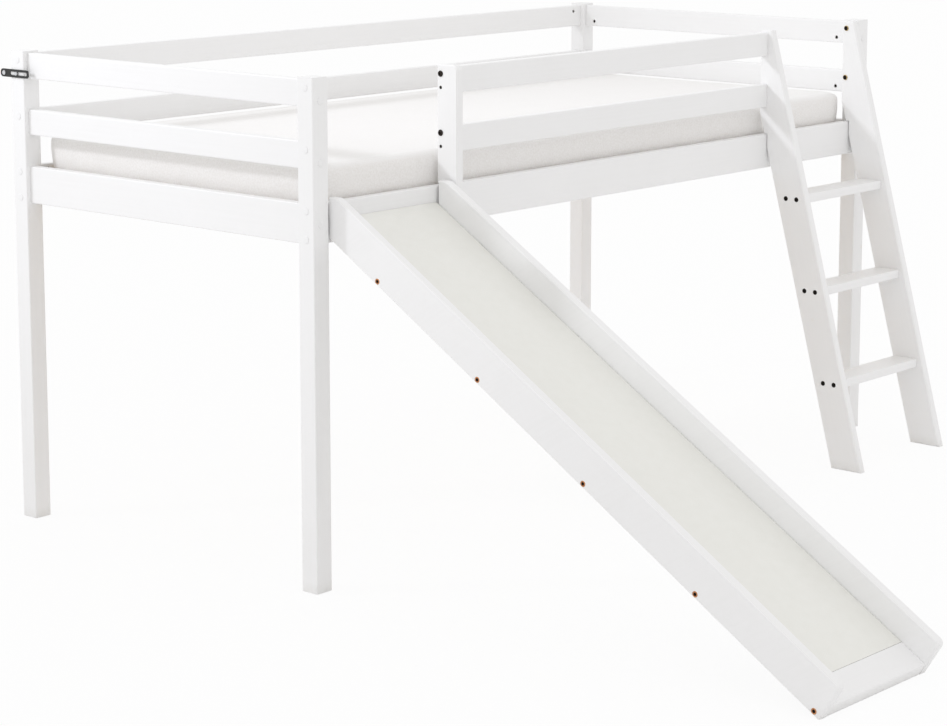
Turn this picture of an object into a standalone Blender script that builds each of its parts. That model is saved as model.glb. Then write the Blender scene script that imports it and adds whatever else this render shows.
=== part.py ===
# Mid-height loft bed in white painted pine, with a slide and a slanted ladder on its front.
# Metres, Z up. X runs along the bed towards the ladder end and Y runs to the back.
# The origin is on the floor, under the centre of the front left post.
import math

import bmesh
import bpy
from mathutils import Vector

for old_object in list(bpy.data.objects):
    bpy.data.objects.remove(old_object, do_unlink=True)

# Timber stock
post_width = 0.045
rail_thickness = 0.022
rail_height = 0.058
board_height = 0.085
eased_edge = 0.0025
touch_gap = 0.0003

# Frame
clear_length = 2.003
clear_width = 0.903
post_height = 1.095
post_above_rail = 0.005
lower_gap = 0.073
upper_gap = 0.071

# Guard and slide opening
slide_opening = 0.372
guard_drop = 0.004
upright_width = 0.058
upright_above_rail = 0.002
notch_play = 0.0012
upright_corner_radius = 0.013

# Ladder
ladder_clear = 0.349
ladder_lean = math.radians(15.1)
stile_width = 0.085
stile_top_depth = 0.0315
tread_count = 3
first_tread_share = 0.2578
tread_rise_share = 0.2759
tread_depth = 0.070
tread_rear_inset = 0.002
tread_screw_spacing = 0.032

# Slide
slide_angle = math.radians(31.5)
slide_start_rise = 0.012
slide_side_gap = 0.005
slide_rear_gap = 0.005
slide_wall_width = 0.085
slide_wall_thickness = 0.022
slide_top_radius = 0.030
slide_foot_radius = 0.012
slide_foot_flat = 0.005
slide_batten_count = 4
slide_batten_width = 0.045
slide_batten_thickness = 0.026
slide_first_batten_share = 0.10905
slide_batten_pitch_share = 0.2205
slide_screw_height = 0.008
slide_panel_thickness = 0.004
slide_panel_play = 0.0008
slide_end_width = 0.063
slide_end_thickness = 0.029
slide_end_setback = 0.001
slide_end_radius = 0.004
slide_end_screw_inset = 0.017

# Slatted base
support_size = 0.025
support_lift = 0.020
support_screw_count = 5
support_screw_margin = 0.120
slat_count = 12
slat_width = 0.068
slat_thickness = 0.015
slat_end_gap = 0.003
slat_margin = 0.018
tape_width = 0.018
tape_thickness = 0.001
tape_inset = 0.150

# Mattress
mattress_slack_long = 0.021
mattress_slack_wide = 0.015
mattress_left_gap = 0.015
mattress_front_gap = 0.005
mattress_thickness = 0.097
mattress_corner_radius = 0.032
mattress_edge_radius = 0.018
mattress_crown = 0.004
mattress_side_draw = 0.003
mattress_corner_steps = 8
mattress_edge_steps = 4
mattress_crown_shares = (0.12, 0.35, 0.65)

# Frame bolts with their barrel nuts and caps
bolt_shank = 0.006
bolt_bore = 0.0072
bolt_root = 0.010
bolt_head = 0.010
bolt_head_height = 0.006
counterbore = 0.012
counterbore_depth = 0.012
long_bolt_offset = 0.0135
end_bolt_offset = -0.015
board_bolt_spacing = 0.060
nut_length = 0.013
nut_bore = 0.010
nut_distance = 0.030
bolt_past_nut = 0.008
bore_end_play = 0.002
cap_width = 0.0155
cap_height = 0.0012
cap_depth = 0.001
cap_rim_share = 0.90
rim_share = 0.84

# Guard and stile bolts
guard_bolt_offset = 0.015
guard_bolt_head = 0.0135
guard_bolt_head_height = 0.0024
guard_bolt_socket = 0.005
guard_bolt_socket_depth = 0.0018
stile_nut_width = 0.010
stile_nut_length = 0.0035

# Screws
guard_screw_offset = -0.015
small_screw_head = 0.0078
small_screw_shank = 0.0045
small_screw_bore = 0.0054
small_screw_length = 0.040
large_screw_head = 0.0125
large_screw_shank = 0.006
large_screw_bore = 0.0072
screw_head_sink = 0.0006
screw_head_height = 0.003
screw_root = 0.008
upright_screw_spacing = 0.050
stile_screw_drop = 0.022

# Slide brackets
bracket_leg = 0.018
bracket_width = 0.014
bracket_thickness = 0.002
bracket_lift = 0.002
bracket_screw_inset = 0.011
bracket_screw_length = 0.014
bracket_screw_head = 0.008
bracket_screw_head_height = 0.0018

# Wall strap
strap_length = 0.098
strap_height = 0.0185
strap_thickness = 0.0025
strap_drop = 0.052
strap_rear_reach = 0.034
strap_front_radius = 0.006
strap_rear_radius = 0.0085
slot_length = 0.059
slot_height = 0.008
slot_front_inset = 0.005
rivet_inset = 0.013
rivet_shank = 0.0055
rivet_bore = 0.0065
rivet_head = 0.011
rivet_tail = 0.009
rivet_head_height = 0.002
strap_screw_head = 0.009
strap_screw_head_height = 0.003
strap_screw_shank = 0.005
strap_screw_bore = 0.0062
strap_screw_depth = 0.014

# Facets and cutting
cut_overrun = 0.002
plain_sides = 8
round_sides = 10
arc_steps = 5
edge_steps = 2

# Worked out from the sizes above
post_half = post_width / 2
rail_half = rail_thickness / 2
post_spacing_x = clear_length + rail_thickness
post_spacing_y = clear_width + rail_thickness
top_top = post_height - post_above_rail
top_low = top_top - rail_height
middle_top = top_low - upper_gap
middle_low = middle_top - rail_height
board_top = middle_low - lower_gap
board_underside = board_top - board_height
upright_top = top_top + upright_above_rail
levels = {
    "top_rail": (top_low, top_top),
    "middle_rail": (middle_low, middle_top),
    "side_board": (board_underside, board_top),
}

# Finishes: linear colour, roughness and metallic value
finishes = {
    "white paint": ((0.83, 0.83, 0.82), 0.42, 0.0),
    "cream laminate": ((0.80, 0.81, 0.76), 0.30, 0.0),
    "bare pine": ((0.62, 0.45, 0.27), 0.65, 0.0),
    "mattress cover": ((0.82, 0.80, 0.78), 0.90, 0.0),
    "white webbing": ((0.75, 0.74, 0.71), 0.90, 0.0),
    "zinc plate": ((0.60, 0.60, 0.62), 0.35, 1.0),
    "black oxide steel": ((0.03, 0.025, 0.02), 0.40, 1.0),
    "black enamel steel": ((0.02, 0.02, 0.02), 0.35, 0.0),
}

along_x = Vector((1, 0, 0))
along_y = Vector((0, 1, 0))
along_z = Vector((0, 0, 1))


def piece_material(name, finish):
    """The piece's own paint, metal or cloth."""
    colour, roughness, metallic = finishes[finish]
    material = bpy.data.materials.new(name + " " + finish)
    material.use_nodes = True
    shader = material.node_tree.nodes["Principled BSDF"]
    shader.inputs["Base Color"].default_value = (*colour, 1)
    shader.inputs["Roughness"].default_value = roughness
    shader.inputs["Metallic"].default_value = metallic
    return material


def add_piece(name, shape, finish):
    """Turns a finished bmesh into the named piece, its origin at its middle, smooth between sharp edges."""
    bmesh.ops.recalc_face_normals(shape, faces=shape.faces)
    lows = [min(vert.co[axis] for vert in shape.verts) for axis in range(3)]
    highs = [max(vert.co[axis] for vert in shape.verts) for axis in range(3)]
    centre = (Vector(lows) + Vector(highs)) / 2
    bmesh.ops.translate(shape, verts=shape.verts, vec=-centre)
    mesh = bpy.data.meshes.new(name)
    shape.to_mesh(mesh)
    shape.free()
    mesh.shade_smooth()
    mesh.set_sharp_from_angle(angle=math.radians(35))
    piece = bpy.data.objects.new(name, mesh)
    piece.location = centre
    bpy.context.scene.collection.objects.link(piece)
    mesh.materials.append(piece_material(name, finish))
    return piece


def timber(name, low, high, along, finish="white paint", steps=edge_steps):
    """A straight length of planed timber between two corners, its four long edges eased."""
    shape = bmesh.new()
    bmesh.ops.create_cube(shape, size=1)
    for vert in shape.verts:
        for axis in range(3):
            vert.co[axis] = low[axis] if vert.co[axis] < 0 else high[axis]
    long_edges = []
    for edge in shape.edges:
        if edge.verts[0].co[along] != edge.verts[1].co[along]:
            long_edges.append(edge)
    bmesh.ops.bevel(
        shape, geom=long_edges, offset=eased_edge, segments=steps, profile=0.5, affect="EDGES"
    )
    return add_piece(name, shape, finish)


def rounded(corners):
    """An outline from corners given as (y, z, radius), each rounded corner turned by an arc."""
    outline = []
    for index, (y, z, radius) in enumerate(corners):
        corner = Vector((y, z))
        if not radius:
            outline.append(corner)
            continue
        before = (Vector(corners[index - 1][:2]) - corner).normalized()
        after = (Vector(corners[(index + 1) % len(corners)][:2]) - corner).normalized()
        half = before.angle(after) / 2
        centre = corner + (before + after).normalized() * radius / math.sin(half)
        start = corner + before * radius / math.tan(half) - centre
        finish = corner + after * radius / math.tan(half) - centre
        sweep = -start.angle_signed(finish)
        across = Vector((-start.y, start.x))
        for step in range(arc_steps + 1):
            turn = sweep * step / arc_steps
            outline.append(centre + start * math.cos(turn) + across * math.sin(turn))
    return outline


def extrude_outline(points, push):
    """A closed prism: an outline of points in space, pushed along a vector."""
    shape = bmesh.new()
    near = shape.faces.new([shape.verts.new(point) for point in points])
    moved = bmesh.ops.extrude_face_region(shape, geom=[near])["geom"]
    far = [item for item in moved if isinstance(item, bmesh.types.BMVert)]
    bmesh.ops.translate(shape, verts=far, vec=push)
    return shape


def sawn_board(name, outline, low_x, high_x, finish="white paint", eased=eased_edge):
    """A board sawn to an outline in the YZ plane, standing between two X planes, its arrises eased."""
    shape = extrude_outline([(low_x, y, z) for y, z in outline], along_x * (high_x - low_x))
    if eased:
        arrises = [edge for edge in shape.edges if edge.verts[0].co.x == edge.verts[1].co.x]
        bmesh.ops.bevel(shape, geom=arrises, offset=eased, segments=1, profile=0.5, affect="EDGES")
    return add_piece(name, shape, finish)


def turned(places, profile, sides):
    """Closed turned solids, one at each (start, direction), from a profile of (distance, diameter)."""
    shape = bmesh.new()
    for start, along in places:
        turn = along.to_track_quat("Z", "Y")
        rings = []
        for distance, diameter in profile:
            ring = []
            for step in range(sides):
                angle = math.tau * (step + 0.5) / sides
                across = Vector((math.cos(angle), math.sin(angle), 0)) * diameter / 2
                ring.append(shape.verts.new(start + turn @ (across + along_z * distance)))
            rings.append(ring)
        shape.faces.new(list(reversed(rings[0])))
        shape.faces.new(rings[-1])
        for lower, upper in zip(rings, rings[1:]):
            for step in range(sides):
                following = (step + 1) % sides
                shape.faces.new((lower[step], lower[following], upper[following], upper[step]))
    return shape


def combine(piece, name, operation, shape):
    """Cuts a hidden shape out of a piece, or joins it on."""
    bmesh.ops.recalc_face_normals(shape, faces=shape.faces)
    mesh = bpy.data.meshes.new(name)
    shape.to_mesh(mesh)
    shape.free()
    tool = bpy.data.objects.new(name, mesh)
    bpy.context.scene.collection.objects.link(tool)
    tool.hide_render = True
    tool.display_type = "WIRE"
    boolean = piece.modifiers.new(name, "BOOLEAN")
    boolean.operation = operation
    boolean.solver = "EXACT"
    boolean.object = tool


def drill(piece, name, places, steps, sides=plain_sides):
    """Drills the same round hole at each (start, direction), from steps of (depth, diameter)."""
    profile = [(-cut_overrun, steps[0][1])]
    for depth, diameter in steps:
        profile.append((profile[-1][0], diameter))
        profile.append((depth, diameter))
    combine(piece, name, "DIFFERENCE", turned(places, profile[1:], sides))


def screw_steps(head, bore):
    """A hole through a plate for a screw whose head is let in flush."""
    return [
        (screw_head_height + touch_gap, head + 2 * touch_gap),
        (rail_thickness + cut_overrun, bore),
    ]


def stand_screws(piece, name, places, head, shank, sides=plain_sides, gap=touch_gap):
    """Screws that stay one body with the piece that they hold, and stand out of it through a plate."""
    plate = rail_thickness + gap
    profile = [
        (-screw_root, shank),
        (plate - screw_head_height, shank),
        (plate - screw_head_height, head),
        (plate - screw_head_sink, head),
    ]
    combine(piece, name, "UNION", turned(places, profile, sides))


def bolt_heights(level, along_bed):
    """The bolt levels of a rail. Bolts along the bed sit higher than those across it, so that they pass."""
    middle = sum(levels[level]) / 2
    if level == "side_board" and along_bed:
        return [middle + board_bolt_spacing / 2, middle - board_bolt_spacing / 2]
    if level == "side_board":
        return [middle]
    return [middle + (long_bolt_offset if along_bed else end_bolt_offset)]


# Posts: four square posts, bored for the frame bolts, with a plastic cap over each bolt head
post_hole = [(counterbore_depth, counterbore), (post_width + cut_overrun, bolt_bore)]
cap_profile = [(-cap_height, cap_width * cap_rim_share), (cap_depth, cap_width)]
posts = {}
for side, post_x, outward_x in (("left", 0, -along_x), ("right", post_spacing_x, along_x)):
    for depth_side, post_y, outward_y in (("front", 0, -along_y), ("back", post_spacing_y, along_y)):
        post_name = depth_side + "_" + side + "_post"
        post = timber(
            post_name,
            (post_x - post_half, post_y - post_half, 0),
            (post_x + post_half, post_y + post_half, post_height),
            2,
        )
        posts[post_name] = post
        caps = []
        bores = []
        for level in levels:
            for z in bolt_heights(level, True):
                caps.append((Vector((post_x, post_y, z)) + outward_x * post_half, -outward_x))
                if post_name != "front_left_post" or level == "side_board":
                    bores.append(caps[-1])
            for z in bolt_heights(level, False):
                caps.append((Vector((post_x, post_y, z)) + outward_y * post_half, -outward_y))
                bores.append(caps[-1])
        drill(post, post_name + "_bores", bores, post_hole)
        combine(post, post_name + "_caps", "UNION", turned(caps, cap_profile, round_sides))

# Frame bolts stay one body with the rail whose barrel nut holds them, and stand out through the post
bolt_reach = touch_gap + post_width - counterbore_depth + touch_gap
bolt_profile = [
    (-bolt_root, bolt_shank),
    (bolt_reach, bolt_shank),
    (bolt_reach, bolt_head),
    (bolt_reach + bolt_head_height, bolt_head),
]
nut_recess = (rail_thickness - nut_length) / 2


def sink_nuts(rail, ends, inside):
    """Sinks a barrel nut at each (end, outward direction) from the rail's inner face."""
    nuts = [(end - outward * nut_distance + inside * rail_half, -inside) for end, outward in ends]
    drill(rail, rail.name + "_nut_bores", nuts, [(nut_recess, nut_bore)])


# Rails and boards along the bed, butted between the posts
rail_low_x = post_half + touch_gap
rail_high_x = post_spacing_x - post_half - touch_gap
long_rails = {}
for depth_side, rail_y, inside, rail_levels in (
    ("back", post_spacing_y, -along_y, levels),
    ("front", 0, along_y, ["side_board"]),
):
    for level in rail_levels:
        low_z, high_z = levels[level]
        rail = timber(
            depth_side + "_" + level,
            (rail_low_x, rail_y - rail_half, low_z),
            (rail_high_x, rail_y + rail_half, high_z),
            0,
        )
        long_rails[rail.name] = rail
        ends = []
        for z in bolt_heights(level, True):
            ends.append((Vector((rail_low_x, rail_y, z)), -along_x))
            ends.append((Vector((rail_high_x, rail_y, z)), along_x))
        combine(rail, rail.name + "_bolts", "UNION", turned(ends, bolt_profile, plain_sides))
        sink_nuts(rail, ends, inside)

# Rails and boards across the two ends
rail_low_y = post_half + touch_gap
rail_high_y = post_spacing_y - post_half - touch_gap
for side, rail_x, inside in (("left", 0, along_x), ("right", post_spacing_x, -along_x)):
    for level, (low_z, high_z) in levels.items():
        rail = timber(
            side + "_" + level,
            (rail_x - rail_half, rail_low_y, low_z),
            (rail_x + rail_half, rail_high_y, high_z),
            1,
        )
        ends = []
        for z in bolt_heights(level, False):
            ends.append((Vector((rail_x, rail_low_y, z)), -along_y))
            ends.append((Vector((rail_x, rail_high_y, z)), along_y))
        combine(rail, rail.name + "_bolts", "UNION", turned(ends, bolt_profile, plain_sides))
        sink_nuts(rail, ends, inside)

# Guard upright: a board on edge, notched to sit on the front side board, its top front corner rounded
front_board = long_rails["front_side_board"]
front_face_y = -rail_half - touch_gap
notch_y = -rail_half - notch_play
seat_z = board_top + touch_gap
upright_low_x = post_half + slide_opening
upright_high_x = upright_low_x + rail_thickness
upright_front_y = rail_half - upright_width
guard_upright = sawn_board(
    "guard_upright",
    rounded(
        [
            (upright_front_y, board_underside, 0),
            (notch_y, board_underside, 0),
            (notch_y, seat_z, 0),
            (rail_half, seat_z, 0),
            (rail_half, upright_top, 0),
            (upright_front_y, upright_top, upright_corner_radius),
        ]
    ),
    upright_low_x,
    upright_high_x,
)

# Ladder stiles: leaning boards with a bird's mouth over the side board and a plumb rear edge above it
stile_slope = math.tan(ladder_lean)
stile_top = upright_top
stile_floor_front = rail_half - stile_top_depth - stile_top * stile_slope
stile_level_width = stile_width / math.cos(ladder_lean)
stile_floor_rear = stile_floor_front + stile_level_width


def stile_rear(z):
    """Where a stile's rear edge is at a height."""
    return stile_floor_rear + z * stile_slope


stile_outline = [
    (stile_floor_front, 0),
    (stile_floor_rear, 0),
    (notch_y, (notch_y - stile_floor_rear) / stile_slope),
    (notch_y, seat_z),
    (stile_rear(seat_z), seat_z),
    (rail_half, (rail_half - stile_floor_rear) / stile_slope),
    (rail_half, stile_top),
    (rail_half - stile_top_depth, stile_top),
]
right_stile_high_x = post_spacing_x - post_half - touch_gap
right_stile_low_x = right_stile_high_x - rail_thickness
left_stile_high_x = right_stile_low_x - ladder_clear
left_stile_low_x = left_stile_high_x - rail_thickness
left_stile = sawn_board("ladder_left_stile", stile_outline, left_stile_low_x, left_stile_high_x)
right_stile = sawn_board("ladder_right_stile", stile_outline, right_stile_low_x, right_stile_high_x)

# Ladder treads: flat boards between the stiles, with two screws through each stile
tread_low_x = left_stile_high_x + touch_gap
tread_high_x = right_stile_low_x - touch_gap
large_hole = screw_steps(large_screw_head, large_screw_bore)
left_stile_holes = []
right_stile_holes = []
for tread_number in range(1, tread_count + 1):
    tread_z = board_top * (first_tread_share + tread_rise_share * (tread_number - 1))
    tread_rear = stile_rear(tread_z) - tread_rear_inset
    tread = timber(
        "ladder_tread_" + str(tread_number),
        (tread_low_x, tread_rear - tread_depth, tread_z - rail_half),
        (tread_high_x, tread_rear, tread_z + rail_half),
        0,
    )
    ends = []
    for side in (-1, 1):
        screw_y = stile_rear(tread_z) - stile_level_width / 2 + side * tread_screw_spacing / 2
        ends.append((Vector((tread_low_x, screw_y, tread_z)), -along_x))
        ends.append((Vector((tread_high_x, screw_y, tread_z)), along_x))
        left_stile_holes.append((Vector((left_stile_low_x, screw_y, tread_z)), along_x))
        right_stile_holes.append((Vector((right_stile_high_x, screw_y, tread_z)), -along_x))
    stand_screws(tread, tread.name + "_screws", ends, large_screw_head, large_screw_shank, round_sides)
drill(left_stile, "left_stile_tread_holes", left_stile_holes, large_hole, round_sides)
drill(right_stile, "right_stile_tread_holes", right_stile_holes, large_hole, round_sides)

# Guard rails: between the upright and the left stile, with a bolt above and a screw below at each end
guard_low_x = upright_high_x + touch_gap
guard_high_x = left_stile_low_x - touch_gap
plate_reach = rail_thickness + touch_gap
plate_hole = [(rail_thickness + cut_overrun, bolt_bore)]
small_hole = screw_steps(small_screw_head, small_screw_bore)
guard_bolt_end = plate_reach + nut_distance + bolt_past_nut
guard_bore = [(nut_distance + bolt_past_nut + bore_end_play, bolt_bore)]
bolt_head_profile = [
    (-touch_gap - guard_bolt_head_height + guard_bolt_socket_depth, guard_bolt_socket),
    (-touch_gap - guard_bolt_head_height, guard_bolt_socket),
    (-touch_gap - guard_bolt_head_height, guard_bolt_head * rim_share),
    (-touch_gap, guard_bolt_head),
    (-touch_gap, bolt_shank),
]
guard_bolt_profile = bolt_head_profile + [(guard_bolt_end, bolt_shank)]
for level in ("top_rail", "middle_rail"):
    short_level = level.split("_")[0]
    low_z = levels[level][0] - guard_drop
    middle_z = low_z + rail_height / 2
    guard_rail = timber(
        "guard_" + level,
        (guard_low_x, -rail_half, low_z),
        (guard_high_x, rail_half, low_z + rail_height),
        0,
    )
    bolt_ends = []
    screw_ends = []
    for side, carrier, end_x, outward in (
        ("upright", guard_upright, guard_low_x, -along_x),
        ("left_stile", left_stile, guard_high_x, along_x),
    ):
        bolt_end = Vector((end_x, 0, middle_z + guard_bolt_offset))
        screw_end = Vector((end_x, 0, middle_z + guard_screw_offset))
        bolt_ends.append((bolt_end, outward))
        screw_ends.append((screw_end, outward))
        bolt_place = [(bolt_end + outward * plate_reach, -outward)]
        screw_place = [(screw_end + outward * plate_reach, -outward)]
        fixing_name = side + "_" + short_level
        drill(carrier, fixing_name + "_bolt_hole", bolt_place, plate_hole)
        drill(carrier, fixing_name + "_screw_hole", screw_place, small_hole)
        add_piece(fixing_name + "_bolt", turned(bolt_place, guard_bolt_profile, round_sides), "black oxide steel")
    bores = [(end, -outward) for end, outward in bolt_ends]
    drill(guard_rail, guard_rail.name + "_bolt_bores", bores, guard_bore)
    sink_nuts(guard_rail, bolt_ends, along_y)
    stand_screws(guard_rail, guard_rail.name + "_screws", screw_ends, small_screw_head, small_screw_shank)

# The right stile is bolted through the front right post, to a nut under the post's cap
stile_bolt_reach = plate_reach + post_width - counterbore_depth + touch_gap
stile_bolt_profile = bolt_head_profile + [
    (stile_bolt_reach, bolt_shank),
    (stile_bolt_reach, stile_nut_width),
    (stile_bolt_reach + stile_nut_length, stile_nut_width),
]
stile_bolt_places = []
for level in ("top_rail", "middle_rail"):
    for z in bolt_heights(level, True):
        place = (Vector((right_stile_low_x, 0, z)), along_x)
        stile_bolt_places.append(place)
        bolt_name = "right_stile_" + level.split("_")[0] + "_bolt"
        add_piece(bolt_name, turned([place], stile_bolt_profile, round_sides), "black oxide steel")
drill(right_stile, "right_stile_bolt_holes", stile_bolt_places, plate_hole)

# Screws from inside the bed hold the upright and both stiles to the side board
board_middle_z = (board_underside + board_top) / 2
upright_middle_x = (upright_low_x + upright_high_x) / 2
upright_ends = []
board_holes = []
for side in (-1, 1):
    screw_z = board_middle_z + side * upright_screw_spacing / 2
    upright_ends.append((Vector((upright_middle_x, notch_y, screw_z)), along_y))
    board_holes.append((Vector((upright_middle_x, rail_half, screw_z)), -along_y))
stand_screws(
    guard_upright, "upright_board_screws", upright_ends, small_screw_head, small_screw_shank, gap=notch_play
)
small_bore = [(small_screw_length - rail_thickness + bore_end_play, small_screw_bore)]
small_screw_profile = [
    (screw_head_sink, small_screw_head),
    (screw_head_height, small_screw_head),
    (screw_head_height, small_screw_shank),
    (small_screw_length, small_screw_shank),
]
for stile, middle_x in (
    (left_stile, (left_stile_low_x + left_stile_high_x) / 2),
    (right_stile, (right_stile_low_x + right_stile_high_x) / 2),
):
    screw_z = board_top - stile_screw_drop
    board_holes.append((Vector((middle_x, rail_half, screw_z)), -along_y))
    drill(stile, stile.name + "_bore", [(Vector((middle_x, notch_y, screw_z)), -along_y)], small_bore)
    screw_name = stile.name.replace("ladder_", "") + "_screw"
    add_piece(screw_name, turned(board_holes[-1:], small_screw_profile, plain_sides), "black oxide steel")
drill(front_board, "front_board_screw_holes", board_holes, small_hole)

# Slide: everything is set out down the slope from the lower rear corner of the side walls
slide_rear_y = -rail_half - slide_rear_gap
slope_cos = math.cos(slide_angle)
slope_sin = math.sin(slide_angle)
slide_start_height = board_underside + slide_start_rise
slide_wall_top = board_top + slide_start_rise
slide_lower_length = slide_start_height / slope_sin
wall_left_low = post_half + slide_side_gap
wall_left_high = wall_left_low + slide_wall_thickness
wall_right_high = upright_low_x - slide_side_gap
wall_right_low = wall_right_high - slide_wall_thickness


def down(distance, height):
    """A point of the YZ plane this far down the slope and this high above the walls' lower edge."""
    y = slide_rear_y - distance * slope_cos - height * slope_sin
    z = slide_start_height - distance * slope_sin + height * slope_cos
    return (y, z)


# Side walls: plumb at the bed, clipped level at the top, square at the foot, and level where they stand
foot_end = slide_lower_length + slide_foot_flat * slope_cos
foot_rise = slide_foot_flat * slope_sin
clip_run = (slide_start_height + slide_wall_width / slope_cos - slide_wall_top) / math.tan(slide_angle)
wall_outline = rounded(
    [
        (slide_rear_y, slide_start_height, 0),
        (slide_rear_y, slide_wall_top, 0),
        (slide_rear_y - clip_run, slide_wall_top, slide_top_radius),
        (*down(foot_end, slide_wall_width), slide_foot_radius),
        (*down(foot_end, foot_rise), 0),
        (*down(slide_lower_length, 0), 0),
    ]
)
left_wall = sawn_board("slide_left_wall", wall_outline, wall_left_low, wall_left_high)
right_wall = sawn_board("slide_right_wall", wall_outline, wall_right_low, wall_right_high)

# Cross battens under the panel, and a foot board at its end, all screwed through both walls
cross_low_x = wall_left_high + touch_gap
cross_high_x = wall_right_low - touch_gap
panel_low = slide_batten_thickness + touch_gap
panel_high = panel_low + slide_panel_thickness
end_far = foot_end - slide_end_setback
end_near = end_far - slide_end_width
end_low = panel_high - slide_end_thickness
end_floor = slide_lower_length + (end_low * slope_cos - touch_gap) / slope_sin
end_tip_low = (touch_gap + end_far * slope_sin - slide_start_height) / slope_cos
cross_pieces = []
for batten_number in range(1, slide_batten_count + 1):
    batten_share = slide_first_batten_share + slide_batten_pitch_share * (batten_number - 1)
    middle = slide_lower_length * batten_share
    near = middle - slide_batten_width / 2
    far = middle + slide_batten_width / 2
    batten = sawn_board(
        "slide_batten_" + str(batten_number),
        [
            down(near, 0),
            down(far, 0),
            down(far, slide_batten_thickness),
            down(near, slide_batten_thickness),
        ],
        cross_low_x,
        cross_high_x,
        eased=0,
    )
    cross_pieces.append((batten, middle))
end_board = sawn_board(
    "slide_end_board",
    rounded(
        [
            (*down(end_near, end_low), 0),
            (*down(end_near, panel_high), 0),
            (*down(end_far, panel_high), slide_end_radius),
            (*down(end_far, end_tip_low), 0),
            (*down(end_floor, end_low), 0),
        ]
    ),
    cross_low_x,
    cross_high_x,
    eased=0,
)
cross_pieces.append((end_board, end_far - slide_end_screw_inset))
left_wall_holes = []
right_wall_holes = []
for piece, distance in cross_pieces:
    screw_y, screw_z = down(distance, slide_screw_height)
    ends = [
        (Vector((cross_low_x, screw_y, screw_z)), -along_x),
        (Vector((cross_high_x, screw_y, screw_z)), along_x),
    ]
    stand_screws(piece, piece.name + "_screws", ends, large_screw_head, large_screw_shank, round_sides)
    left_wall_holes.append((Vector((wall_left_low, screw_y, screw_z)), along_x))
    right_wall_holes.append((Vector((wall_right_high, screw_y, screw_z)), -along_x))
drill(left_wall, "left_wall_screw_holes", left_wall_holes, large_hole, round_sides)
drill(right_wall, "right_wall_screw_holes", right_wall_holes, large_hole, round_sides)

# Slide panel: a thin laminated sheet on the battens, its top edge cut plumb against the side board
panel_rear_y = front_face_y - slide_panel_play
panel_outline = []
for height in (panel_low, panel_high):
    rear_distance = (slide_rear_y - height * slope_sin - panel_rear_y) / slope_cos
    panel_outline.append(down(rear_distance, height))
for height in (panel_high, panel_low):
    panel_outline.append(down(end_near - slide_panel_play, height))
sawn_board(
    "slide_panel",
    panel_outline,
    cross_low_x + slide_panel_play,
    cross_high_x - slide_panel_play,
    "cream laminate",
    eased=0,
)

# Slide brackets: bent steel angles under the panel, from the side board to the inside of each wall
bracket_low_z = slide_start_height + bracket_lift
bracket_screw_profile = [
    (-bracket_thickness - bracket_screw_head_height, bracket_screw_head * rim_share),
    (-bracket_thickness, bracket_screw_head),
    (-bracket_thickness + touch_gap, bracket_screw_head),
    (-bracket_thickness + touch_gap, small_screw_shank),
    (bracket_screw_length, small_screw_shank),
]
for side, wall, corner_x, inward in (
    ("left", left_wall, cross_low_x, along_x),
    ("right", right_wall, cross_high_x, -along_x),
):
    corner = Vector((corner_x, front_face_y, bracket_low_z))
    out = -along_y
    outline = [
        corner,
        corner + inward * bracket_leg,
        corner + inward * bracket_leg + out * bracket_thickness,
        corner + inward * bracket_thickness + out * bracket_thickness,
        corner + inward * bracket_thickness + out * bracket_leg,
        corner + out * bracket_leg,
    ]
    bracket_shape = extrude_outline(outline, along_z * bracket_width)
    bracket = add_piece("slide_" + side + "_bracket", bracket_shape, "zinc plate")
    board_screw = corner + inward * bracket_screw_inset + along_z * bracket_width / 2
    wall_screw = corner + out * bracket_screw_inset + along_z * bracket_width / 2
    screw_places = [(board_screw, -out), (wall_screw, -inward)]
    screws = turned(screw_places, bracket_screw_profile, plain_sides)
    combine(bracket, bracket.name + "_screws", "UNION", screws)
    bracket_bore = [(bracket_screw_length + bore_end_play, small_screw_bore)]
    drill(front_board, side + "_bracket_board_bore", screw_places[:1], bracket_bore)
    drill(wall, side + "_bracket_wall_bore", screw_places[1:], bracket_bore)

# Slat supports: square battens screwed inside the two side boards
support_low = board_underside + support_lift
support_top = support_low + support_size
support_middle_z = support_low + support_size / 2
support_screw_run = rail_high_x - rail_low_x - 2 * support_screw_margin
support_bore = [(small_screw_length - support_size + bore_end_play, small_screw_bore)]
support_screw_profile = [(support_size / 2, small_screw_shank), (small_screw_length, small_screw_shank)]
for support_name, board, face_y, outward in (
    ("front_slat_support", front_board, rail_half, -along_y),
    ("back_slat_support", long_rails["back_side_board"], post_spacing_y - rail_half, along_y),
):
    seat_y = face_y - outward.y * touch_gap
    far_y = seat_y - outward.y * support_size
    support = timber(
        support_name,
        (rail_low_x, min(seat_y, far_y), support_low),
        (rail_high_x, max(seat_y, far_y), support_top),
        0,
        "bare pine",
    )
    starts = []
    blind = []
    for step in range(support_screw_count):
        x = rail_low_x + support_screw_margin + support_screw_run * step / (support_screw_count - 1)
        starts.append((Vector((x, far_y, support_middle_z)), outward))
        blind.append((Vector((x, face_y, support_middle_z)), outward))
    combine(support, support_name + "_screws", "UNION", turned(starts, support_screw_profile, plain_sides))
    drill(support, support_name + "_heads", starts, [(screw_head_sink, small_screw_head)])
    drill(board, support_name + "_bores", blind, support_bore)

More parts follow.
